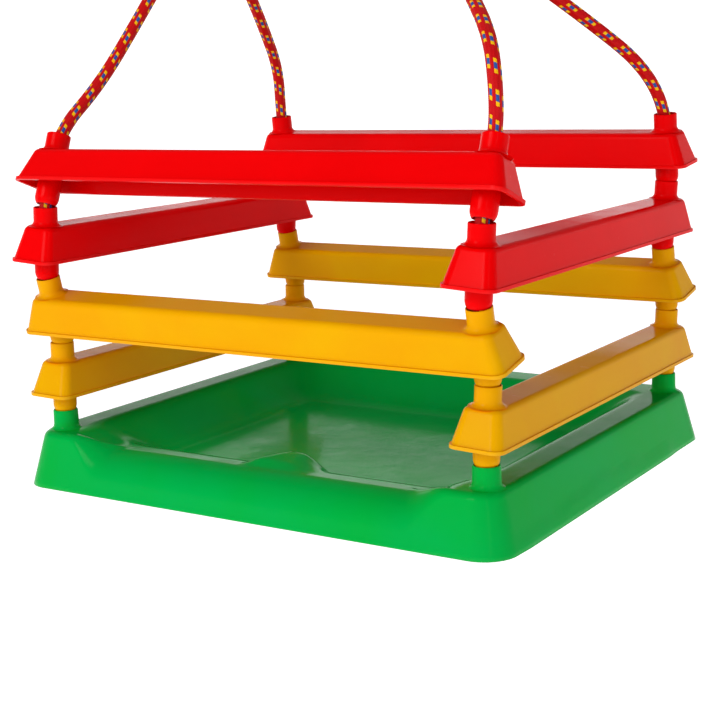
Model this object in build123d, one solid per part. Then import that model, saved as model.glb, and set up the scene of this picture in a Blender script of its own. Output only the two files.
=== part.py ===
from build123d import *
import math
import os

os.makedirs("parts", exist_ok=True)

# Toddler bucket swing: a hollow moulded seat and eight channel-section guard bars, threaded log-cabin
# fashion on four rope strands. The strands of each side meet in an eye knot round a steel hanging ring.
# Millimetres, +Z up. The front of the seat, where the legs go over, faces -Y. Left (-X) and right (+X)
# are as seen from the front. Heights are worked out from the foot of the seat, and every part is then
# lowered so that the origin is on the axis that the swing swings about, above the middle of the seat.

# ---- driving dimensions -------------------------------------------------------------------------
POST_X = 168.0           # half the spacing of the posts, left to right
POST_Y = 143.5           # half the spacing of the posts, front to back
SEAT_X = 190.5           # half width of the seat at its foot
SEAT_Y = 170.5           # half depth of the seat at its foot
RIM_TOP = 38.0           # height of the seat's rim
WALL_DRAFT = 14.0        # degrees, how far the seat's outer walls flare
SEAT_WALL = 3.0
SEAT_CORNER = 22.0
SOCKET_TOP = 51.6        # height of the seat's sockets
PITCH = 48.5             # height that each bar adds to the stack
BAR_DROP = 36.8          # bar's lower edge, below its own socket top
SOCKET_RISE = 12.8       # socket top, above the bar's top face
BAR_HALF_FOOT = 17.6     # half width of the bar at its lower edge
BAR_HALF_TOP = 12.1      # half width of the bar at its top face
END_FOOT = 18.4          # how far the bar's end runs past the post, at the lower edge
END_TOP = 10.0           # the same at the top face
BAR_WALL = 1.8
LIP = 0.5                # outward lip along the bar's lower edge
LIP_HEIGHT = 2.2
BAR_CORNER = 7.0         # the bar's upright corners, in plan
BAR_TOP_FILLET = 4.4
TUBE_R = 8.2
SHOULDER = 3.6           # hollow fillet where the tube leaves the bar's top
SEAT_SOCKET_R = 8.8
BORE_R = 6.9             # the rope runs loose in the sockets
NOSE_BORE_R = 5.8        # mouth of the rounded lower end of each spigot
NOSE_DEPTH = 5.0         # how far the rounded end reaches below the centre of its curve
MOUTH_R = 7.8            # sockets flare to this at the rim, to take the rounded end
MOUTH_FLARE = 3.2        # depth of the flare
NOSE_GAP = 1.4           # play between a rounded end and the socket mouth it sits in
ROPE_R = 4.5
KNOT_R = 10.2
KNOT_HEIGHT = 11.2       # centre of the knot under each corner
RING_R = 20.0            # centre line of the hanging ring
RING_WIRE_R = 3.5
HANG_HEIGHT = 424.0      # the axis that the swing swings about, above the foot of the seat
RING_X = {"left": -131.0, "right": 52.0}
EYE_PLAY = 1.2           # between the rope's eye and the ring's wire
EYE_KNOT_R = 14.0
EYE_KNOT_DROP = 27.0     # centre of the eye knot, below the swing axis

# How the bars lean as they hang: the ropes draw the top bars inwards and the ones below rock on their
# rounded ends. Degrees about the bar's own length, positive towards -Y, or towards +X for a side bar.
LEAN = {
    "yellow_right": 2.4,
    "yellow_left": 1.5,
    "yellow_front": 12.8,
    "yellow_back": 11.4,
    "red_right": 3.7,
    "red_left": 3.5,
    "red_front": -21.0,
    "red_back": 6.4,
}
FRONT_LIFT = 2.2         # the ropes pull the top front bar this far out of its sockets
FRONT_SET_BACK = 2.0

# Where each rope strand runs, from the knot under the seat, up through the stack, to its eye knot.
STRANDS = {
    "front_left": [
        (-168, -143.5, 19), (-168.1, -143.3, 60), (-166.4, -142.4, 104), (-166.2, -154.6, 150),
        (-163.3, -154.8, 199), (-163.6, -137.5, 244), (-155, -100, 277), (-147, -66, 320),
        (-141, -38, 356), (-132.5, -5, 392)],
    "front_right": [
        (168, -143.5, 19), (168.2, -143.3, 60), (169.8, -142.4, 104), (169.8, -154.6, 150),
        (172.7, -155.0, 199), (172.8, -135, 245), (174, -138, 275), (163, -124, 301),
        (130, -87, 328), (95, -46, 358), (56, -5, 392)],
    "back_left": [
        (-168, 143.5, 19), (-168.1, 143.3, 60), (-166.4, 144.8, 104), (-166.2, 131.9, 150),
        (-163.4, 133.8, 200), (-163.2, 128, 245), (-163.4, 127, 283), (-156, 99, 315),
        (-149, 70, 345), (-142, 40, 369), (-132.5, 5, 392)],
    "back_right": [
        (168, 143.5, 19), (168.2, 143.3, 60), (169.8, 144.8, 104), (169.8, 131.9, 150),
        (172.6, 133.8, 200), (173.4, 129.4, 245), (161, 116, 278), (134, 87, 308),
        (96, 47, 346), (56, 5, 392)],
}

OVERRUN = 1.0            # shapes reach this far past the surface that they cut or join
RIM_EDGE = 0.7           # rounding of a socket's rim
TOP_CORNER = 0.8         # a tapered block's corner radius at its top, as a share of that at its foot
ARC_SHARE = 0.45         # share of a rope's straight run that each arc may take up
ARC_MIDDLE = 1 - math.sqrt(0.5)    # depth of a quarter arc's middle, as a share of its radius

# Height of a spigot's centre of curvature above the mouth that it sits in.
NOSE_RISE = math.sqrt(TUBE_R**2 - MOUTH_R**2) + NOSE_GAP


# ---- how the stack stands ------------------------------------------------------------------------
def socket_mouths(place, half):
    """Centre and direction of a placed bar's two socket mouths, low end of its length first."""
    mouths = []
    for end in (-half, half):
        mouth = place * Location((end, 0, PITCH - NOSE_RISE))
        mouths.append((mouth.position, Plane(place).z_dir))
    return mouths


def sit_on(supports, turn, lean, offset=(0, 0, 0)):
    """Place of a bar whose rounded ends sit in two socket mouths: its length is turned about Z, then it
    leans. The bar's own origin is midway between the centres of its rounded ends."""
    centres = [position + direction * NOSE_RISE for position, direction in supports]
    middle = (centres[0] + centres[1]) * 0.5 + Vector(*offset)
    return Location(tuple(middle)) * Location((0, 0, 0), (0, 0, turn)) * Location((0, 0, 0), (lean, 0, 0))


def seat_mouth(x_side, y_side):
    return Vector(x_side * POST_X, y_side * POST_Y, SOCKET_TOP), Vector(0, 0, 1)


def stack_places():
    """Place of each of the eight bars, from the seat upwards."""
    places = {}
    for side, x_side in (("left", -1), ("right", 1)):
        name = "yellow_" + side
        supports = [seat_mouth(x_side, -1), seat_mouth(x_side, 1)]
        places[name] = sit_on(supports, 90, LEAN[name])
    for level, (lower, upper) in enumerate((("yellow", "yellow"), ("yellow", "red"), ("red", "red"))):
        along_x = level != 1
        below = ("left", "right") if along_x else ("front", "back")
        above = ("front", "back") if along_x else ("left", "right")
        half_below = POST_Y if along_x else POST_X
        mouths = [socket_mouths(places[f"{lower}_{side}"], half_below) for side in below]
        for index, side in enumerate(above):
            name = f"{upper}_{side}"
            offset = (0, FRONT_SET_BACK, FRONT_LIFT) if name == "red_front" else (0, 0, 0)
            turn = 0 if along_x else 90
            places[name] = sit_on([mouths[0][index], mouths[1][index]], turn, LEAN[name], offset)
    return places


# ---- bars ----------------------------------------------------------------------------------------
def tapered_block(half_x, half_y, low, top_half_x, top_half_y, high, radius):
    """A block with rounded upright corners that narrows from low to high."""
    foot = Plane.XY.offset(low) * RectangleRounded(2 * half_x, 2 * half_y, radius)
    head = Plane.XY.offset(high) * RectangleRounded(2 * top_half_x, 2 * top_half_y, radius * TOP_CORNER)
    return loft([foot, head])


def socket(radius, foot, base, shoulder, rim):
    """A tube that rises through a surface at height base, with a hollow fillet there and a rounded rim."""
    bend = shoulder * ARC_MIDDLE
    soft = RIM_EDGE * ARC_MIDDLE
    outline = [
        Line((0, foot), (radius, foot)),
        Line((radius, foot), (radius, base - OVERRUN)),
        Line((radius, base - OVERRUN), (radius + shoulder, base)),
        ThreePointArc((radius + shoulder, base), (radius + bend, base + bend), (radius, base + shoulder)),
        Line((radius, base + shoulder), (radius, rim - RIM_EDGE)),
        ThreePointArc((radius, rim - RIM_EDGE), (radius - soft, rim - soft), (radius - RIM_EDGE, rim)),
        Line((radius - RIM_EDGE, rim), (0, rim)),
        Line((0, rim), (0, foot)),
    ]
    return revolve(Plane.XZ * make_face(outline), axis=Axis.Z)


def rope_hole(foot, rim):
    """The bore through a socket and the flare at its mouth."""
    flare = Cone(BORE_R, MOUTH_R, MOUTH_FLARE, align=(Align.CENTER, Align.CENTER, Align.MIN))
    bore = Pos(0, 0, foot) * extrude(Circle(BORE_R), rim + OVERRUN - foot)
    return bore + Pos(0, 0, rim - MOUTH_FLARE) * flare


def bar(half_post):
    """One guard bar along X: an open channel with a tube at each end. Its origin is midway between the
    centres of its rounded lower ends."""
    rim = PITCH - NOSE_RISE
    low = rim - BAR_DROP
    high = rim - SOCKET_RISE
    foot_x = half_post + END_FOOT
    top_x = half_post + END_TOP
    shell = tapered_block(foot_x, BAR_HALF_FOOT, low, top_x, BAR_HALF_TOP, high, BAR_CORNER)
    shell = fillet(shell.faces().sort_by(Axis.Z)[-1].edges(), BAR_TOP_FILLET)
    lip_outline = RectangleRounded(2 * (foot_x + LIP), 2 * (BAR_HALF_FOOT + LIP), BAR_CORNER + LIP)
    lip = Pos(0, 0, low) * extrude(lip_outline, LIP_HEIGHT)
    hollow = tapered_block(foot_x - BAR_WALL, BAR_HALF_FOOT - BAR_WALL, low,
                           top_x - BAR_WALL, BAR_HALF_TOP - BAR_WALL, high - BAR_WALL,
                           BAR_CORNER - BAR_WALL)
    body = shell + lip - hollow
    nose = Sphere(TUBE_R) - Pos(0, 0, -NOSE_DEPTH - TUBE_R) * Box(4 * TUBE_R, 4 * TUBE_R, 2 * TUBE_R)
    tube = socket(TUBE_R, 0, high, SHOULDER, rim) + nose
    hole = rope_hole(0, rim) + Pos(0, 0, -TUBE_R) * extrude(Circle(NOSE_BORE_R), 2 * TUBE_R)
    for end in (-half_post, half_post):
        body += Pos(end, 0, 0) * tube
    for end in (-half_post, half_post):
        body -= Pos(end, 0, 0) * hole
    return body


# ---- seat ----------------------------------------------------------------------------------------
RIM_INNER_X = 161.0      # half width of the bowl at the rim
RIM_INNER_BACK = 134.0   # back of the bowl at the rim, behind the centre
BOWL_FLOOR = 13.0
LEG_EDGE = 28.0          # height of the front edge where the legs go over it
LEG_HALF = 128.0         # half width of the lowered front edge
HUMP_TOP = 33.0
HUMP_BACK = -104.0       # how far back the top of the hump between the legs reaches
HUMP_HALF = 27.0         # half width of the hump's top, at the front edge
HUMP_NOSE = 5.0          # half width of the hump's top, at its back
HUMP_FLANK = 12.0        # how much wider the hump's foot is
HUMP_SET_BACK = 6.0      # how far the hump's top stands back from its foot, at the front
HUMP_LEAN = 14.0         # how far its foot stops short of its top, at the back
LEG_FLANK = 20.0         # how far the corner blocks' inner flanks lean
FRONT_STOP = 16.0        # thickness of the front edge
BOWL_SLOPE = 46.0        # how far the bowl narrows to its floor
BOWL_CORNER = 40.0
SEAT_SHOULDER = 2.4      # hollow fillet where the socket leaves the rim
RIM_FILLET = 5.0
SLEEVE_DEPTH = 13.0      # sleeves under the sockets, below the rim's underside


def seat_outside(inset, height):
    """The seat's outer form up to a height, drawn in by a wall thickness."""
    lean_in = RIM_TOP * math.tan(math.radians(WALL_DRAFT))
    half_x = SEAT_X - inset
    half_y = SEAT_Y - inset
    return tapered_block(half_x, half_y, 0, half_x - lean_in, half_y - lean_in, height, SEAT_CORNER - inset)


def bowl(grow):
    """The hollow that the child sits in and the dips that the legs go over, grown by a wall thickness for
    the underside."""
    back = RIM_INNER_BACK + grow
    front = -SEAT_Y + FRONT_STOP - grow
    middle = (back + front) / 2
    half_depth = (back - front) / 2
    dish = tapered_block(RIM_INNER_X + grow - BOWL_SLOPE, half_depth - BOWL_SLOPE, BOWL_FLOOR - grow,
                         RIM_INNER_X + grow, half_depth, RIM_TOP + OVERRUN, BOWL_CORNER)
    low = LEG_EDGE - grow
    high = RIM_TOP + OVERRUN
    half_low = LEG_HALF + grow
    half_high = half_low + LEG_FLANK
    legs = Plane.XZ * Polygon((-half_low, low), (half_low, low),
                              (half_high, high), (-half_high, high), align=None)
    legs = Pos(0, -SEAT_Y / 2, 0) * extrude(legs, SEAT_Y / 2 + SEAT_WALL + OVERRUN)
    return Pos(0, middle, 0) * dish + legs


def hump(shrink):
    """The ridge between the legs, wider towards the front edge."""
    front = -SEAT_Y + FRONT_STOP / 2
    foot_front = HUMP_HALF + HUMP_FLANK - shrink
    foot_back = HUMP_FLANK - shrink
    foot_end = HUMP_BACK + HUMP_LEAN - shrink
    foot = Polygon((-foot_front, front), (foot_front, front),
                   (foot_back, foot_end), (-foot_back, foot_end), align=None)
    top_front = HUMP_HALF - shrink
    top_start = front + HUMP_SET_BACK
    top_end = HUMP_BACK - shrink
    top = Polygon((-top_front, top_start), (top_front, top_start),
                  (HUMP_NOSE, top_end), (-HUMP_NOSE, top_end), align=None)
    return loft([Plane.XY * foot, Plane.XY.offset(HUMP_TOP - shrink) * top])


def seat():
    shell = seat_outside(0, RIM_TOP)
    shell = fillet(shell.faces().sort_by(Axis.Z)[-1].edges(), RIM_FILLET) - bowl(0)
    shell = shell + hump(0)
    inside = seat_outside(SEAT_WALL, RIM_TOP - SEAT_WALL) - bowl(SEAT_WALL) + hump(SEAT_WALL)
    body = shell - inside
    sleeve_foot = RIM_TOP - SEAT_WALL - SLEEVE_DEPTH
    posts = [Pos(x_side * POST_X, y_side * POST_Y, 0) for x_side in (-1, 1) for y_side in (-1, 1)]
    tube = socket(SEAT_SOCKET_R, sleeve_foot, RIM_TOP, SEAT_SHOULDER, SOCKET_TOP)
    hole = rope_hole(0, SOCKET_TOP)
    for post in posts:
        body += post * tube
    for post in posts:
        body -= post * hole
    return body


# ---- ropes, knots and rings ----------------------------------------------------------------------
def strand(name, points):
    """A rope strand: straight runs joined by arcs that are as large as their runs allow."""
    corners = [Vector(*point) for point in points]
    runs = [after - before for before, after in zip(corners, corners[1:])]
    radii = []
    for into, out in zip(runs, runs[1:]):
        half_turn = math.radians(into.get_angle(out)) / 2
        radii.append(ARC_SHARE * min(into.length, out.length) / math.tan(half_turn))
    path = FilletPolyline(*corners, radius=radii)
    tube = sweep(Plane(origin=path @ 0, z_dir=path % 0) * Circle(ROPE_R), path=path)
    volume = math.pi * ROPE_R**2 * path.length
    print(f"rope_{name}: {path.length:.0f} mm, volume {tube.volume:.0f} of {volume:.0f}, arcs",
          [round(radius) for radius in radii])
    return tube


def seat_knot(x_side, y_side):
    return Pos(x_side * POST_X, y_side * POST_Y, KNOT_HEIGHT) * Sphere(KNOT_R)


def eye_knot(x):
    """The knot that gathers one side's two strands, and its eye round the ring's wire."""
    eye = Pos(x, 0, HANG_HEIGHT) * Rot(0, 90, 0) * Torus(RING_WIRE_R + EYE_PLAY + ROPE_R, ROPE_R)
    return eye + Pos(x, 0, HANG_HEIGHT - EYE_KNOT_DROP) * Sphere(EYE_KNOT_R)


def ring(x):
    return Pos(x, 0, HANG_HEIGHT + RING_R) * Rot(90, 0, 0) * Torus(RING_R, RING_WIRE_R)


# ---- every node ----------------------------------------------------------------------------------
nodes = {"seat": seat()}
bars = {"front": bar(POST_X), "back": bar(POST_X), "left": bar(POST_Y), "right": bar(POST_Y)}
for name, place in stack_places().items():
    nodes[name + "_bar"] = place * bars[name.split("_")[1]]
for name, points in STRANDS.items():
    nodes["rope_" + name] = strand(name, points)
for side, x_side in (("left", -1), ("right", 1)):
    nodes["eye_knot_" + side] = eye_knot(RING_X[side])
    nodes["ring_" + side] = ring(RING_X[side])
    for end, y_side in (("front", -1), ("back", 1)):
        knot = seat_knot(x_side, y_side)
        nodes[f"seat_knot_{end}_{side}"] = knot
        nodes[f"rope_{end}_{side}"] -= knot + nodes["eye_knot_" + side]

for name, shape in nodes.items():
    export_step(Pos(0, 0, -HANG_HEIGHT) * shape, f"parts/{name}.step")
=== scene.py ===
import math

import bpy
import numpy as np
from mathutils import Matrix, Vector


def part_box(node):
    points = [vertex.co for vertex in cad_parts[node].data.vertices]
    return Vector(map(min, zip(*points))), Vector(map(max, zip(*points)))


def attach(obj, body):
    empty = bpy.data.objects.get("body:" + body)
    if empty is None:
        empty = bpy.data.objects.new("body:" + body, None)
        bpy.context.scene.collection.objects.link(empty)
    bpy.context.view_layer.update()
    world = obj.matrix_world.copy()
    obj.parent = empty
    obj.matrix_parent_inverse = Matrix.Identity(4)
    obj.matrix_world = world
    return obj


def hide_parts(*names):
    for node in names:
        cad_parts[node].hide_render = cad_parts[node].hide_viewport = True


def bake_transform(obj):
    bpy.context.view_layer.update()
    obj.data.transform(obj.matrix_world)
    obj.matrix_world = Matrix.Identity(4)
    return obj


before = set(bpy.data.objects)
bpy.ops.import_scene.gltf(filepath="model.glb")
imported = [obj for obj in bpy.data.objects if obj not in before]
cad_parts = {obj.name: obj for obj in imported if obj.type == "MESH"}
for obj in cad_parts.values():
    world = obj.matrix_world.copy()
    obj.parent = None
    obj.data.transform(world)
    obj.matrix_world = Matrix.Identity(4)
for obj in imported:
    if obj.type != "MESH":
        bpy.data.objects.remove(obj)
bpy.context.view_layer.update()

# Toddler bucket swing. Metres; +Z up, -Y to the front, origin on the axis that it swings about.
# The heights of the ropes' routes and of the seat are given above the foot of the seat.

SEAT_LOW, SEAT_HIGH = (Vector(corner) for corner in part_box("seat"))
FOOT_Z = SEAT_LOW.z
SIDES = {"left": -1, "right": 1}
ENDS = {"front": -1, "back": 1}
POST_X = 0.168           # half the spacing of the posts, left to right
POST_Y = 0.1435          # the same, front to back


def smooth(t):
    """Smooth step from 0 to 1; works on numbers and arrays."""
    t = np.clip(t, 0.0, 1.0)
    return t * t * (3 - 2 * t)


def mix(a, b, t):
    return a + (b - a) * t


# ---- camera --------------------------------------------------------------------------------------
CAMERA_AT = Vector((0.5592, -0.8889, FOOT_Z + 0.2853))
CAMERA_YAW = math.radians(32.65)     # turned to the left of looking along +Y
CAMERA_PITCH = math.radians(-11.37)
CAMERA_ROLL = math.radians(-1.75)
CAMERA_LENS = 73.6

camera_data = bpy.data.cameras.new("camera")
camera_data.lens = CAMERA_LENS
camera_data.sensor_width = 36
camera_data.clip_start = 0.02
camera = bpy.data.objects.new("camera", camera_data)
bpy.context.collection.objects.link(camera)
camera.matrix_world = (
    Matrix.Translation(CAMERA_AT)
    @ Matrix.Rotation(CAMERA_YAW, 4, "Z")
    @ Matrix.Rotation(math.pi / 2 + CAMERA_PITCH, 4, "X")
    @ Matrix.Rotation(CAMERA_ROLL, 4, "Z")
)
bpy.context.scene.camera = camera
bpy.context.scene.view_settings.view_transform = "Standard"


# ---- materials -----------------------------------------------------------------------------------
def new_material(name):
    material = bpy.data.materials.new(name)
    material.use_nodes = True
    tree = material.node_tree
    shader = tree.nodes["Principled BSDF"]
    return material, tree, shader


def node(tree, kind, inputs=None, **settings):
    made = tree.nodes.new(kind)
    for key, value in settings.items():
        setattr(made, key, value)
    for key, value in (inputs or {}).items():
        if isinstance(value, bpy.types.NodeSocket):
            tree.links.new(value, made.inputs[key])
        else:
            made.inputs[key].default_value = value
    return made


def noise(tree, place, scale, detail=3.0, distortion=0.0):
    return node(tree, "ShaderNodeTexNoise", {
        "Vector": place, "Scale": scale, "Detail": detail, "Distortion": distortion}).outputs["Fac"]


def ranged(tree, value, source, target):
    """Value mapped from one range onto another, without going past its ends."""
    return node(tree, "ShaderNodeMapRange", {
        "Value": value, "From Min": source[0], "From Max": source[1],
        "To Min": target[0], "To Max": target[1]}).outputs["Result"]


def mixed(tree, factor, a, b):
    """Colour between a and b; each is a colour or a socket."""
    made = node(tree, "ShaderNodeMix", {"Factor": factor}, data_type="RGBA")
    for socket, value in ((made.inputs[6], a), (made.inputs[7], b)):
        if isinstance(value, bpy.types.NodeSocket):
            tree.links.new(value, socket)
        else:
            socket.default_value = (*value, 1)
    return made.outputs[2]


def moulded_plastic(name, colour, shade, glow, roughness, glow_depth, glow_amount):
    """Glossy moulded polypropylene: a little uneven in colour, with painted shade deepening the colour in
    the hollows, painted light in the creases standing in for light coming through and bouncing in the
    plastic, sink marks that bend the reflections, fine scuffs, paler sharp edges."""
    material, tree, shader = new_material(name)
    place = node(tree, "ShaderNodeTexCoord").outputs["Object"]
    cloudy = noise(tree, place, scale=14.0, detail=4.0, distortion=0.6)
    base = mixed(tree, ranged(tree, cloudy, (0.3, 0.7), (0.0, 0.35)), colour, shade)
    # Painted shade: the colour deepens towards the shade colour where ambient occlusion finds hollows.
    hollow_shade_ao = node(tree, "ShaderNodeAmbientOcclusion", {"Distance": 0.12}, samples=6).outputs["AO"]
    base = mixed(tree, ranged(tree, hollow_shade_ao, (0.25, 0.85), (0.75, 0.0)), base, shade)
    # Painted light: the glow colour, standing in for light coming through and bouncing in the plastic, is
    # laid into tight creases found by ambient occlusion.
    crease_glow_ao = node(tree, "ShaderNodeAmbientOcclusion", {"Distance": glow_depth}, samples=6).outputs["AO"]
    base = mixed(tree, ranged(tree, crease_glow_ao, (0.35, 0.85), (glow_amount, 0.0)), base, glow)
    # Paler along sharp edges, found by pointiness.
    edges = node(tree, "ShaderNodeNewGeometry").outputs["Pointiness"]
    pale_edge_colour = tuple(mix(channel, 1.0, 0.12) for channel in colour)
    base = mixed(tree, ranged(tree, edges, (0.55, 0.7), (0.0, 0.2)), base, pale_edge_colour)
    tree.links.new(base, shader.inputs["Base Color"])

    stretched = node(tree, "ShaderNodeMapping", {
        "Vector": place, "Rotation": (0.3, 0.2, 0.9), "Scale": (60.0, 700.0, 300.0)}).outputs["Vector"]
    scuffs = noise(tree, stretched, scale=1.0, detail=2.0)
    smudges = noise(tree, place, scale=30.0, detail=5.0, distortion=1.0)
    rough = ranged(tree, smudges, (0.3, 0.75), (roughness, roughness + 0.09))
    scuffed = ranged(tree, scuffs, (0.66, 0.8), (0.0, 0.08))
    rough = node(tree, "ShaderNodeMath", {0: rough, 1: scuffed}, operation="ADD").outputs[0]
    tree.links.new(rough, shader.inputs["Roughness"])

    sinks = node(tree, "ShaderNodeBump", {
        "Height": noise(tree, place, scale=38.0, detail=2.0, distortion=0.4),
        "Strength": 0.35, "Distance": 0.0007}).outputs["Normal"]
    skin = node(tree, "ShaderNodeBump", {
        "Height": noise(tree, place, scale=1400.0, detail=2.0),
        "Strength": 0.1, "Distance": 0.00008, "Normal": sinks})
    tree.links.new(skin.outputs["Normal"], shader.inputs["Normal"])
    shader.inputs["IOR"].default_value = 1.5
    shader.inputs["Specular IOR Level"].default_value = 0.03
    return material


def rope_yarn(name, colour, dark):
    """Braided polypropylene yarn: fine filaments along the stitches, a soft sheen, painted shade darkening
    the gaps.
    """
    material, tree, shader = new_material(name)
    place = node(tree, "ShaderNodeTexCoord").outputs["Object"]
    filaments = noise(tree, place, scale=2600.0, detail=2.0)
    dull = noise(tree, place, scale=60.0, detail=3.0)
    # Painted shade: the yarn darkens towards the dark colour in the gaps between stitches found by ambient
    # occlusion.
    gap_shade_ao = node(tree, "ShaderNodeAmbientOcclusion", {"Distance": 0.0012}, samples=4).outputs["AO"]
    base = mixed(tree, ranged(tree, filaments, (0.35, 0.65), (0.0, 0.3)), colour, dark)
    base = mixed(tree, ranged(tree, dull, (0.4, 0.7), (0.0, 0.15)), base, dark)
    base = mixed(tree, ranged(tree, gap_shade_ao, (0.5, 0.9), (0.6, 0.0)), base, dark)
    tree.links.new(base, shader.inputs["Base Color"])
    tree.links.new(ranged(tree, filaments, (0.3, 0.7), (0.42, 0.62)), shader.inputs["Roughness"])
    bump = node(tree, "ShaderNodeBump", {"Height": filaments, "Strength": 0.4, "Distance": 0.0001})
    tree.links.new(bump.outputs["Normal"], shader.inputs["Normal"])
    shader.inputs["Specular IOR Level"].default_value = 0.12
    shader.inputs["Sheen Weight"].default_value = 0.03
    shader.inputs["Sheen Roughness"].default_value = 0.4
    return material


def plated_steel(name):
    material, tree, shader = new_material(name)
    place = node(tree, "ShaderNodeTexCoord").outputs["Object"]
    spangle = noise(tree, place, scale=160.0, detail=4.0, distortion=0.5)
    grime = noise(tree, place, scale=45.0, detail=5.0)
    base = mixed(tree, spangle, (0.60, 0.61, 0.62), (0.45, 0.46, 0.48))
    base = mixed(tree, ranged(tree, grime, (0.62, 0.8), (0.0, 0.5)), base, (0.22, 0.20, 0.18))
    tree.links.new(base, shader.inputs["Base Color"])
    tree.links.new(ranged(tree, spangle, (0.3, 0.7), (0.22, 0.42)), shader.inputs["Roughness"])
    bump = node(tree, "ShaderNodeBump", {"Height": spangle, "Strength": 0.15, "Distance": 0.0002})
    tree.links.new(bump.outputs["Normal"], shader.inputs["Normal"])
    shader.inputs["Metallic"].default_value = 1.0
    return material


# shade is the deep colour of the random uneven tone and of the painted shade in the hollows; glow is
# painted light in the creases.
RED = moulded_plastic(
    "red_plastic", colour=(0.74, 0.0, 0.001), shade=(0.60, 0.0, 0.0), glow=(0.80, 0.004, 0.0),
    roughness=0.17, glow_depth=0.006, glow_amount=0.3)
YELLOW = moulded_plastic(
    "yellow_plastic", colour=(0.69, 0.350, 0.0), shade=(0.68, 0.20, 0.0), glow=(0.72, 0.25, 0.0),
    roughness=0.17, glow_depth=0.006, glow_amount=0.4)
GREEN = moulded_plastic(
    "green_plastic", colour=(0.0, 0.350, 0.058), shade=(0.0, 0.34, 0.008), glow=(0.01, 0.38, 0.0),
    roughness=0.12, glow_depth=0.02, glow_amount=0.7)
YARN = {
    "red": rope_yarn("rope_red", (0.56, 0.0, 0.002), (0.24, 0.0, 0.0)),
    "yellow": rope_yarn("rope_yellow", (0.86, 0.50, 0.0), (0.55, 0.24, 0.0)),
    "blue": rope_yarn("rope_blue", (0.02, 0.09, 0.34), (0.01, 0.02, 0.14)),
}
STEEL = plated_steel("ring_steel")


# ---- mesh helpers --------------------------------------------------------------------------------
def add_mesh(name, vertices, faces, materials, face_materials=None):
    mesh = bpy.data.meshes.new(name)
    mesh.from_pydata([tuple(v) for v in vertices], [], [tuple(int(i) for i in face) for face in faces])
    for material in materials:
        mesh.materials.append(material)
    if face_materials is not None:
        mesh.polygons.foreach_set("material_index", np.asarray(face_materials, dtype=np.int32))
    mesh.polygons.foreach_set("use_smooth", np.ones(len(mesh.polygons), dtype=bool))
    mesh.update()
    made = bpy.data.objects.new(name, mesh)
    bpy.context.collection.objects.link(made)
    return made


def grid_faces(rows, columns):
    """Quads of a grid of rows x columns vertices, whose last column joins the first."""
    row, column = np.meshgrid(np.arange(rows - 1), np.arange(columns), indexing="ij")
    following = (column + 1) % columns
    quads = np.stack([row * columns + column, row * columns + following,
                      (row + 1) * columns + following, (row + 1) * columns + column], axis=-1)
    return quads.reshape(-1, 4)


# ---- ropes ---------------------------------------------------------------------------------------
ROPE_R = 0.0045
WALES = 12               # columns of stitches round the rope
STITCH = 0.0012          # length of a stitch
SLANT = 0.55             # how far a stitch leans across its wale, as a share of its length
WALE_GROOVE = 0.075      # depth of the grooves between wales, as a share of the rope's radius
STITCH_GROOVE = 0.06     # the same between stitches
FLECK_REPEAT = 14        # stitches from one coloured fleck to the next along a column
FLECK_LENGTH = 7         # stitches in a fleck
FLECK_BLUE = (2, 5)      # its blue stitches; the others are yellow
FLECK_SHIFT = 3          # stitches from the flecks of one flecked column to those of the next
ROPE_TURN = 0.5          # radians that a strand's braid turns from end to end
AROUND = 4               # vertices round the rope in each wale
ALONG = 3                # rings in each stitch

# The route of each strand, from the knot under the seat to its eye knot.
STRANDS = {
    "front_left": [
        (-0.168, -0.1435, 0.019), (-0.1681, -0.1433, 0.060), (-0.1664, -0.1424, 0.104),
        (-0.1662, -0.1546, 0.150), (-0.1633, -0.1548, 0.199), (-0.1636, -0.1375, 0.244),
        (-0.155, -0.100, 0.277), (-0.147, -0.066, 0.320), (-0.141, -0.038, 0.356),
        (-0.1325, -0.005, 0.392)],
    "front_right": [
        (0.168, -0.1435, 0.019), (0.1682, -0.1433, 0.060), (0.1698, -0.1424, 0.104),
        (0.1698, -0.1546, 0.150), (0.1727, -0.1550, 0.199), (0.1728, -0.135, 0.245),
        (0.174, -0.138, 0.275), (0.163, -0.124, 0.301), (0.130, -0.087, 0.328),
        (0.095, -0.046, 0.358), (0.056, -0.005, 0.392)],
    "back_left": [
        (-0.168, 0.1435, 0.019), (-0.1681, 0.1433, 0.060), (-0.1664, 0.1448, 0.104),
        (-0.1662, 0.1319, 0.150), (-0.1634, 0.1338, 0.200), (-0.1632, 0.128, 0.245),
        (-0.1634, 0.127, 0.283), (-0.156, 0.099, 0.315), (-0.149, 0.070, 0.345),
        (-0.142, 0.040, 0.369), (-0.1325, 0.005, 0.392)],
    "back_right": [
        (0.168, 0.1435, 0.019), (0.1682, 0.1433, 0.060), (0.1698, 0.1448, 0.104),
        (0.1698, 0.1319, 0.150), (0.1726, 0.1338, 0.200), (0.1734, 0.1294, 0.245),
        (0.161, 0.116, 0.278), (0.134, 0.087, 0.308), (0.096, 0.047, 0.346), (0.056, 0.005, 0.392)],
}


def smooth_line(points):
    """Points along the NURBS line with these control points."""
    curve = bpy.data.curves.new("route", "CURVE")
    curve.dimensions = "3D"
    spline = curve.splines.new("NURBS")
    spline.points.add(len(points) - 1)
    for target, point in zip(spline.points, points):
        target.co = (*point, 1)
    spline.order_u = 3
    spline.use_endpoint_u = True
    spline.resolution_u = 24
    holder = bpy.data.objects.new("route", curve)
    bpy.context.collection.objects.link(holder)
    mesh = bpy.data.meshes.new_from_object(holder)
    line = np.array([v.co for v in mesh.vertices])
    bpy.data.objects.remove(holder)
    bpy.data.curves.remove(curve)
    bpy.data.meshes.remove(mesh)
    return line


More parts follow.
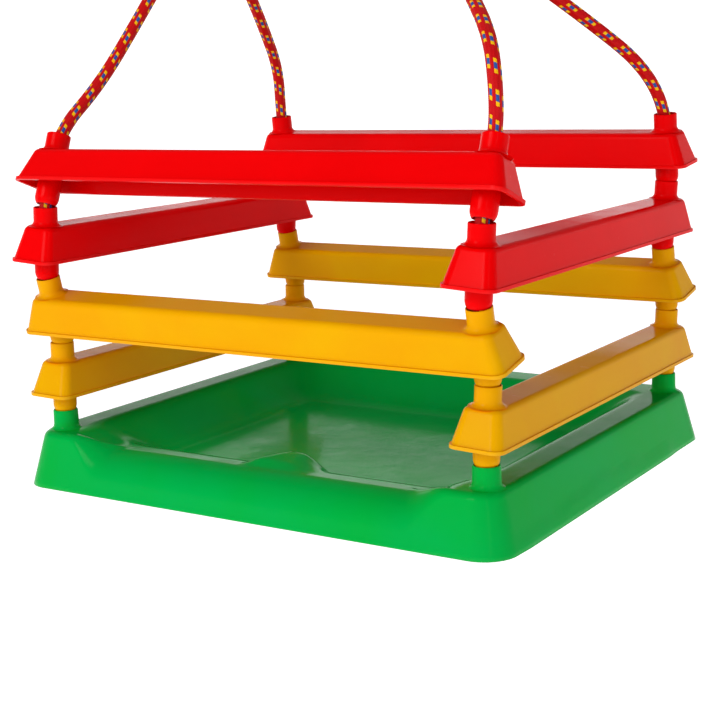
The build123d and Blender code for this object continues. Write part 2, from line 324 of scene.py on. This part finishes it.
def evenly(line, step):
    """The same line in steps of equal length."""
    lengths = np.concatenate([[0], np.cumsum(np.linalg.norm(np.diff(line, axis=0), axis=1))])
    count = max(3, int(round(lengths[-1] / step)) + 1)
    at = np.linspace(0, lengths[-1], count)
    return np.stack([np.interp(at, lengths, line[:, axis]) for axis in range(3)], axis=1)


def leaning(wale):
    """How far along the rope a stitch has moved at this place across the wales, in stitches."""
    slant = np.where(np.floor(wale) % 2 == 0, SLANT, -SLANT)
    return slant * (wale % 1.0 - 0.5)


def braid(name, line, radius=ROPE_R, twist=0.0):
    """A braided rope along a line: wales of slanting stitches, every other wale flecked."""
    centres = evenly(line, STITCH * radius / ROPE_R / ALONG)
    tangents = np.gradient(centres, axis=0)
    tangents /= np.linalg.norm(tangents, axis=1)[:, None]
    side = np.cross(tangents[0], (0.31, 0.95, 0.05))
    sides = []
    for tangent in tangents:
        side = side - tangent * np.dot(side, tangent)
        side = side / np.linalg.norm(side)
        sides.append(side)
    sides = np.array(sides)
    ups = np.cross(tangents, sides)
    rings, columns = len(centres), WALES * AROUND
    wale = np.arange(columns) / AROUND
    stitch = np.arange(rings) / ALONG
    groove = np.abs(np.sin(np.pi * (wale % 1.0)))[None, :] ** 0.6
    ridge = np.abs(np.sin(np.pi * (stitch[:, None] + leaning(wale)[None, :]))) ** 0.7
    reach = radius * (1 - WALE_GROOVE * (1 - groove) - STITCH_GROOVE * (1 - ridge))
    angle = 2 * np.pi * wale[None, :] / WALES + twist * np.linspace(0, 1, rings)[:, None]
    points = (centres[:, None, :]
              + (reach * np.cos(angle))[:, :, None] * sides[:, None, :]
              + (reach * np.sin(angle))[:, :, None] * ups[:, None, :])
    faces = grid_faces(rings, columns)
    face_wale = (np.arange(columns) + 0.5) / AROUND
    face_stitch = np.floor((np.arange(rings - 1)[:, None] + 0.5) / ALONG + leaning(face_wale)[None, :])
    face_wale = np.floor(face_wale).astype(int)
    place = (face_stitch.astype(int) + (face_wale * FLECK_SHIFT // 2)[None, :]) % FLECK_REPEAT
    flecked = (face_wale % 2 == 0)[None, :] & (place < FLECK_LENGTH)
    blue = flecked & (place >= FLECK_BLUE[0]) & (place < FLECK_BLUE[1])
    colours = np.where(blue, 2, np.where(flecked, 1, 0)).reshape(-1)
    caps = [tuple(reversed(range(columns))), tuple(range((rings - 1) * columns, rings * columns))]
    colours = np.concatenate([colours, [0, 0]])
    return add_mesh(name, points.reshape(-1, 3), list(faces) + caps,
                    [YARN["red"], YARN["yellow"], YARN["blue"]], colours)


def at_height(points):
    return [(x, y, FOOT_Z + z) for x, y, z in points]


strand_pieces = {}
for strand_name, route in STRANDS.items():
    route_line = smooth_line(at_height(route))
    rope = braid(f"rope_strand_{strand_name}", route_line, twist=ROPE_TURN)
    strand_pieces[strand_name] = (rope, route_line)


# ---- knots ---------------------------------------------------------------------------------------
EYE_DROP = 0.027         # centre of the eye knot below the swing axis
EYE_R = 0.0092           # centre line of the rope round the ring's wire
WRAPS_R = 0.0088         # centre line of the eye knot's wraps
WRAPS_HEIGHT = 0.0185
KNOT_ROPE_R = 0.0036     # the rope is drawn tight in the knots under the seat
RING_X = {side: (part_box(f"ring_{side}")[0][0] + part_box(f"ring_{side}")[1][0]) / 2 for side in SIDES}


def overhand(centre, size, rope_radius):
    """The line of a tight overhand knot."""
    t = np.linspace(0, 2 * np.pi, 121)
    x = np.sin(t) + 2 * np.sin(2 * t)
    y = np.cos(t) - 2 * np.cos(2 * t)
    z = -np.sin(3 * t)
    flat = (size - rope_radius) / 3
    line = np.stack([x * flat, y * flat, z * (size - rope_radius) * 0.62], axis=1)
    return line + np.array(centre)


def barrel(centre, turns, coil_radius, height):
    """The line of a wrapped knot: a coil that starts and ends at its middle."""
    t = np.linspace(0, 1, 160)
    taper = smooth(t / 0.12) * smooth((1 - t) / 0.12)
    angle = 2 * np.pi * turns * t
    spread = coil_radius * np.maximum(taper, 0.15)
    rise = height * (smooth(t) * 0.25 + t * 0.75 - 0.5)
    line = np.stack([spread * np.cos(angle), spread * np.sin(angle), rise], axis=1)
    return line + np.array(centre)


def eye_loop(x):
    """The line of the eye: up from the knot, round the ring's wire and down again."""
    t = np.linspace(-0.62 * np.pi, 0.62 * np.pi, 60)
    over = np.stack([np.full_like(t, x), EYE_R * np.sin(t), EYE_R * np.cos(t)], axis=1)
    front = np.array([[x, -0.0035, -EYE_DROP - 0.004], [x, -0.0042, -0.017]])
    back = front[::-1] * np.array([1, -1, 1])
    return smooth_line([tuple(p) for p in np.vstack([front, over[::6], back])])


knot_pieces = {}
for side in SIDES:
    eye = braid(f"eye_loop_{side}", eye_loop(RING_X[side]))
    wraps_line = barrel((RING_X[side], 0, -EYE_DROP), 3.0, WRAPS_R, WRAPS_HEIGHT)
    wraps = braid(f"eye_wraps_{side}", wraps_line)
    for piece in (eye, wraps):
        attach(piece, "swing")
    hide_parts(f"eye_knot_{side}")
    knot_pieces[side] = [eye, wraps]
    for end in ENDS:
        low, high = (np.array(corner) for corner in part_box(f"seat_knot_{end}_{side}"))
        knot_line = overhand((low + high) / 2, (high[0] - low[0]) / 2, KNOT_ROPE_R)
        knot = braid(f"seat_knot_{end}_{side}_tied", knot_line, radius=KNOT_ROPE_R)
        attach(knot, "swing")
        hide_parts(f"seat_knot_{end}_{side}")
        knot_pieces[f"{end}_{side}"] = [knot]

for strand_name, (rope, route_line) in strand_pieces.items():
    end, side = strand_name.split("_")
    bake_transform(rope)
    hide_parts(f"rope_{strand_name}")
    on_it = list(knot_pieces[strand_name])
    if end == "front":
        on_it += knot_pieces[side]


# ---- seat ----------------------------------------------------------------------------------------
HALF_X = (SEAT_HIGH.x - SEAT_LOW.x) / 2
HALF_Y = (SEAT_HIGH.y - SEAT_LOW.y) / 2
SOCKET_TOP = SEAT_HIGH.z - FOOT_Z
RIM_TOP = 0.038
DRAFT = math.radians(14)     # how far the outer walls flare
SKIN = 0.003
CORNER_R = 0.022         # the seat's upright corners, in plan, at the foot
CORNER_SHRINK = 0.6      # how fast they tighten as the outline draws in
CORNER_MIN = 0.006
EDGE_R = 0.0055          # rounding of the rim's outer edge
ROLL_R = 0.0255          # the lowered front edge rolls over with this radius

# Leg dips: the front edge is low between the corner blocks.
LEG_EDGE = 0.0287        # height of the lowered front edge
LEG_HALF = (0.122, 0.154)    # half width where the corner blocks start to rise and where they are full
LEG_BACK = -0.098        # the rim starts to fall towards the front edge here
LEG_FALL = 0.045

# Bowl.
FLOOR = 0.0125
DISH = 0.0015            # how far the floor sags
DISH_HALF = (0.13, 0.11)
DISH_Y = -0.01
BOWL_X = 0.161           # half width of the bowl at the rim
BOWL_BACK = 0.134
BOWL_FRONT = -0.149
SLOPE = 0.048            # width of the bowl's sloping sides
FRONT_SLOPE = 0.064
BOWL_MIDDLE = np.array([0.004, -0.012])

# The hump between the legs. Pairs are at its front and at its back.
HUMP_FRONT = -0.166
HUMP_RUN = 0.066
HUMP_LEFT = (-0.036, -0.002)
HUMP_RIGHT = (0.054, 0.038)
HUMP_LEFT_FLANK = (0.020, 0.014)
HUMP_RIGHT_FLANK = (0.034, 0.026)
HUMP_NOSE = -0.092
HUMP_NOSE_FLANK = 0.022
HUMP_TOP = 0.0335
HUMP_TILT = 0.06         # its top falls to the right
HUMP_MIDDLE = 0.002

# The moulded step along the outside of the side walls.
STEP_OUT = 0.0008
STEP_FRONT = -0.146
STEP_RUN = 0.254
STEP_LOW = 0.0085
STEP_BULGE = 0.0055
STEP_ENDS = (-0.150, 0.115)
STEP_FADE = 0.02         # the step fades out over this length at each end
STEP_EDGE = 0.002        # height over which the wall steps in
CORNER_FADE = (0.018, 0.006)     # and it fades this far in from the seat's side, over this length

# How finely the seat is divided.
SIDE_POINTS = 120
CORNER_POINTS = 10
WALL_RINGS = 10
EDGE_RINGS = 9
BOWL_RINGS = 70
BOWL_CROWDING = 1.25     # the bowl's rings are closer together near the rim
EDGE_EASE = 12           # the bowl meets the rolled edge within one part in this many of its width


def slope(t, ease_in=0.16, ease_out=0.5):
    """0 to 1: quickly into a straight fall, slowly out of it."""
    t = np.clip(t, 0.0, 1.0)
    total = 1 - (ease_in + ease_out) / 2
    start = np.minimum(t, ease_in)
    middle = np.clip(t - ease_in, 0, 1 - ease_in - ease_out)
    end = np.clip(t - (1 - ease_out), 0, ease_out)
    return (start**2 / (2 * ease_in) + middle + end - end**2 / (2 * ease_out)) / total


def lowered(x):
    """1 where the front edge is lowered for the legs, 0 in the corner blocks."""
    return 1 - smooth((np.abs(x) - LEG_HALF[0]) / (LEG_HALF[1] - LEG_HALF[0]))


def hump(x, y, ground):
    """The ridge between the legs: a wedge with a ridge line on its left and a rounded nose."""
    along = np.clip((y - HUMP_FRONT) / HUMP_RUN, 0, 1)
    inside_left = (x - mix(*HUMP_LEFT, along)) / mix(*HUMP_LEFT_FLANK, along)
    inside_right = (mix(*HUMP_RIGHT, along) - x) / mix(*HUMP_RIGHT_FLANK, along)
    inside_nose = (HUMP_NOSE - y) / HUMP_NOSE_FLANK
    share = smooth(inside_left) * smooth(inside_right) * smooth(inside_nose)
    top = mix(LEG_EDGE, HUMP_TOP, smooth(along * 1.4)) - HUMP_TILT * (x - HUMP_MIDDLE)
    return np.maximum(ground, mix(ground, top, share))


def inner_height(x, y):
    """Height of the seat's upper surface inside its outer edge."""
    toward_front = smooth((LEG_BACK - y) / LEG_FALL)
    rim = mix(RIM_TOP, mix(RIM_TOP, LEG_EDGE, lowered(x)), toward_front)
    fall = (slope((BOWL_X - np.abs(x)) / SLOPE)
            * slope((BOWL_BACK - y) / SLOPE)
            * slope((y - BOWL_FRONT) / FRONT_SLOPE, ease_in=0.42, ease_out=0.45))
    off_middle = (x / DISH_HALF[0]) ** 2 + ((y - DISH_Y) / DISH_HALF[1]) ** 2
    sag = DISH * (1 - np.minimum(1, off_middle))
    ground = rim + (FLOOR - rim) * fall - sag * fall
    return hump(x, y, ground)


def ring_shares():
    """For each point round a rounded rectangle, its shares of the two straight half sides and, along X and
    Y, of the corner radius. The points start at the front left corner."""
    along = np.linspace(-1, 1, SIDE_POINTS)
    arc = np.linspace(0, np.pi / 2, CORNER_POINTS + 2)[1:-1]
    side = np.column_stack([along, -np.ones_like(along), np.zeros_like(along), -np.ones_like(along)])
    corner = np.column_stack([np.ones_like(arc), -np.ones_like(arc), np.sin(arc), -np.cos(arc)])
    quarters = [np.vstack([side, corner])]
    for _ in range(3):
        side_x, side_y, round_x, round_y = quarters[-1].T
        quarters.append(np.column_stack([-side_y, side_x, -round_y, round_x]))
    return np.vstack(quarters).T


def outline(inset, radius):
    """The seat's outline in plan, drawn in; inset and corner radius may differ from point to point."""
    side_x, side_y, round_x, round_y = ring_shares()
    return np.column_stack([side_x * (HALF_X - inset - radius) + round_x * radius,
                            side_y * (HALF_Y - inset - radius) + round_y * radius])


def ring(inset, height):
    radius = np.maximum(CORNER_R - CORNER_SHRINK * inset, CORNER_MIN)
    return np.column_stack([outline(inset, radius), FOOT_Z + height])


def moulded_step(x, y, z):
    """How far the side walls stand out below the curved step along them."""
    along = np.clip((y - STEP_FRONT) / STEP_RUN, 0, 1)
    height = STEP_LOW + STEP_BULGE * np.sin(np.pi * smooth(along)) ** 2
    ends = smooth((y - STEP_ENDS[0]) / STEP_FADE) * smooth((STEP_ENDS[1] - y) / STEP_FADE)
    on_side = smooth((np.abs(x) - HALF_X + CORNER_FADE[0]) / CORNER_FADE[1])
    return STEP_OUT * ends * on_side * smooth((height - z) / STEP_EDGE + 0.5)


def seat_rings():
    """Rings of the outer surface, from the foot up the wall, over the edge and into the bowl."""
    foot = outline(0, CORNER_R)
    on_front = foot[:, 1] < -HALF_Y + 0.0005
    low_edge = np.where(on_front, lowered(foot[:, 0]), 0.0)
    top = mix(RIM_TOP, LEG_EDGE, low_edge)
    roll = mix(EDGE_R, ROLL_R, low_edge)
    wall_top = top - roll + roll * math.sin(DRAFT)
    roll_inset = roll * math.cos(DRAFT) + wall_top * math.tan(DRAFT)
    rings = []
    for step in range(WALL_RINGS + 1):
        height = wall_top * step / WALL_RINGS
        inset = height * math.tan(DRAFT) - moulded_step(foot[:, 0], foot[:, 1], height)
        rings.append(ring(inset, height))
    for step in range(1, EDGE_RINGS + 1):
        angle = mix(DRAFT, math.pi / 2, step / EDGE_RINGS)
        rings.append(ring(roll_inset - roll * math.cos(angle), top - roll + roll * math.sin(angle)))
    edge = rings[-1]
    gap = edge[:, 2] - FOOT_Z - inner_height(edge[:, 0], edge[:, 1])
    for step in range(1, BOWL_RINGS):
        inward = (step / BOWL_RINGS) ** BOWL_CROWDING
        flat = mix(edge[:, :2], BOWL_MIDDLE, inward)
        height = inner_height(flat[:, 0], flat[:, 1]) + gap * (1 - smooth(inward * EDGE_EASE))
        rings.append(np.column_stack([flat, FOOT_Z + height]))
    return rings


def lathe(centre, profile, steps=40):
    """Rings of a turned shape about an upright axis; profile is a list of radius and height."""
    angle = np.linspace(0, 2 * np.pi, steps, endpoint=False)
    points = [np.stack([centre[0] + r * np.cos(angle), centre[1] + r * np.sin(angle),
                        np.full(steps, FOOT_Z + z)], axis=1) for r, z in profile]
    return np.vstack(points), grid_faces(len(profile), steps)


def build_seat():
    rings = seat_rings()
    middle = [*BOWL_MIDDLE, FOOT_Z + inner_height(*BOWL_MIDDLE)]
    vertices = np.vstack(rings + [np.array([middle])])
    columns = len(rings[0])
    faces = list(grid_faces(len(rings), columns))
    last = (len(rings) - 1) * columns
    faces += [(last + i, last + (i + 1) % columns, len(vertices) - 1) for i in range(columns)]
    shell = add_mesh("seat_tray", vertices, faces, [GREEN])
    solid = shell.modifiers.new("skin", "SOLIDIFY")
    solid.thickness = SKIN
    solid.offset = -1
    bpy.context.view_layer.objects.active = shell
    shell.select_set(True)
    bpy.ops.object.modifier_apply(modifier="skin")
    shell.select_set(False)
    return shell


SOCKET_R = 0.0088
SOCKET_MOUTH_R = 0.0078  # the bore flares to this at the rim
SOCKET_BORE_R = 0.0069
SOCKET_FOOT = 0.022      # height of the sleeve's lower end


def build_sockets():
    outside = [(SOCKET_R + 0.0030, RIM_TOP - 0.0006), (SOCKET_R + 0.0012, RIM_TOP + 0.0005),
               (SOCKET_R + 0.0003, RIM_TOP + 0.0018), (SOCKET_R, RIM_TOP + 0.0035),
               (SOCKET_R - 0.0002, SOCKET_TOP - 0.0008), (SOCKET_R - 0.0005, SOCKET_TOP - 0.0002),
               (SOCKET_R - 0.0007, SOCKET_TOP)]
    inside = [(SOCKET_MOUTH_R, SOCKET_TOP - 0.0001), (SOCKET_BORE_R + 0.0004, SOCKET_TOP - 0.0018),
              (SOCKET_BORE_R, SOCKET_TOP - 0.0034), (SOCKET_BORE_R, SOCKET_FOOT + 0.0005)]
    sleeve = [(SOCKET_BORE_R + 0.0003, SOCKET_FOOT), (SOCKET_R, SOCKET_FOOT), (SOCKET_R, RIM_TOP - SKIN)]
    for side, x_side in SIDES.items():
        for end, y_side in ENDS.items():
            points, faces = lathe((x_side * POST_X, y_side * POST_Y), outside + inside + sleeve)
            socket = add_mesh(f"seat_socket_{end}_{side}", points, faces, [GREEN])
            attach(socket, "swing")


seat = build_seat()
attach(seat, "swing")
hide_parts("seat")
build_sockets()


# ---- bars and rings keep their own shapes --------------------------------------------------------
for name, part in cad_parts.items():
    if name.endswith("_bar"):
        material = RED if name.startswith("red") else YELLOW
    elif name.startswith("ring_"):
        material = STEEL
    else:
        continue
    part.data.materials.clear()
    part.data.materials.append(material)

# ---- floor and light -----------------------------------------------------------------------------
FLOOR_DROP = 0.30        # the swing hangs this far above the floor
FLOOR_FLAT = 4.0         # the floor is flat out to here
SWEEP_R = 2.0            # and then curves up into a backdrop with this radius
FLOOR_STEPS = 48


def build_floor():
    """A pale floor that sweeps up into a backdrop all round, well clear of the swing."""
    angle = np.linspace(0, np.pi / 2, 17)[1:]
    reach = np.concatenate([[0.01, FLOOR_FLAT / 2, FLOOR_FLAT], FLOOR_FLAT + SWEEP_R * np.sin(angle)])
    height = np.concatenate([[0.0, 0.0, 0.0], SWEEP_R * (1 - np.cos(angle))])
    turn = np.linspace(0, 2 * np.pi, FLOOR_STEPS, endpoint=False)
    ground = FOOT_Z - FLOOR_DROP
    rings = [np.column_stack([r * np.cos(turn), r * np.sin(turn), np.full(FLOOR_STEPS, ground + z)])
             for r, z in zip(reach, height)]
    material, tree, shader = new_material("floor_pale")
    place = node(tree, "ShaderNodeTexCoord").outputs["Object"]
    paint = mixed(tree, noise(tree, place, scale=3.0), (0.93, 0.93, 0.93), (0.90, 0.90, 0.90))
    tree.links.new(paint, shader.inputs["Base Color"])
    tree.links.new(paint, shader.inputs["Emission Color"])
    shader.inputs["Emission Strength"].default_value = 0.72
    shader.inputs["Roughness"].default_value = 0.7
    shader.inputs["Specular IOR Level"].default_value = 0.1
    middle_cap = tuple(reversed(range(FLOOR_STEPS)))
    faces = list(grid_faces(len(rings), FLOOR_STEPS)) + [middle_cap]
    add_mesh("floor", np.vstack(rings), faces, [material])


def area_light(name, place, size, power):
    """A rectangular lamp aimed at the middle of the stack of bars."""
    data = bpy.data.lights.new(name, "AREA")
    data.shape = "RECTANGLE"
    data.size, data.size_y = size
    data.energy = power
    lamp = bpy.data.objects.new(name, data)
    bpy.context.collection.objects.link(lamp)
    lamp.location = place
    aim = Vector((0, 0, FOOT_Z + 0.12)) - Vector(place)
    lamp.rotation_euler = aim.to_track_quat("-Z", "Y").to_euler()


build_floor()
area_light("key_left", place=(-0.35, -2.0, 0.85), size=(1.0, 1.0), power=26)
area_light("top", place=(0.0, 0.1, 1.4), size=(1.6, 1.6), power=3)
area_light("strip_right", place=(1.5, -1.3, 0.5), size=(0.12, 1.2), power=2)

world = bpy.data.worlds.new("studio")
world.use_nodes = True
world.node_tree.nodes["Background"].inputs["Color"].default_value = (1, 1, 1, 1)
world.node_tree.nodes["Background"].inputs["Strength"].default_value = 0.32
bpy.context.scene.world = world
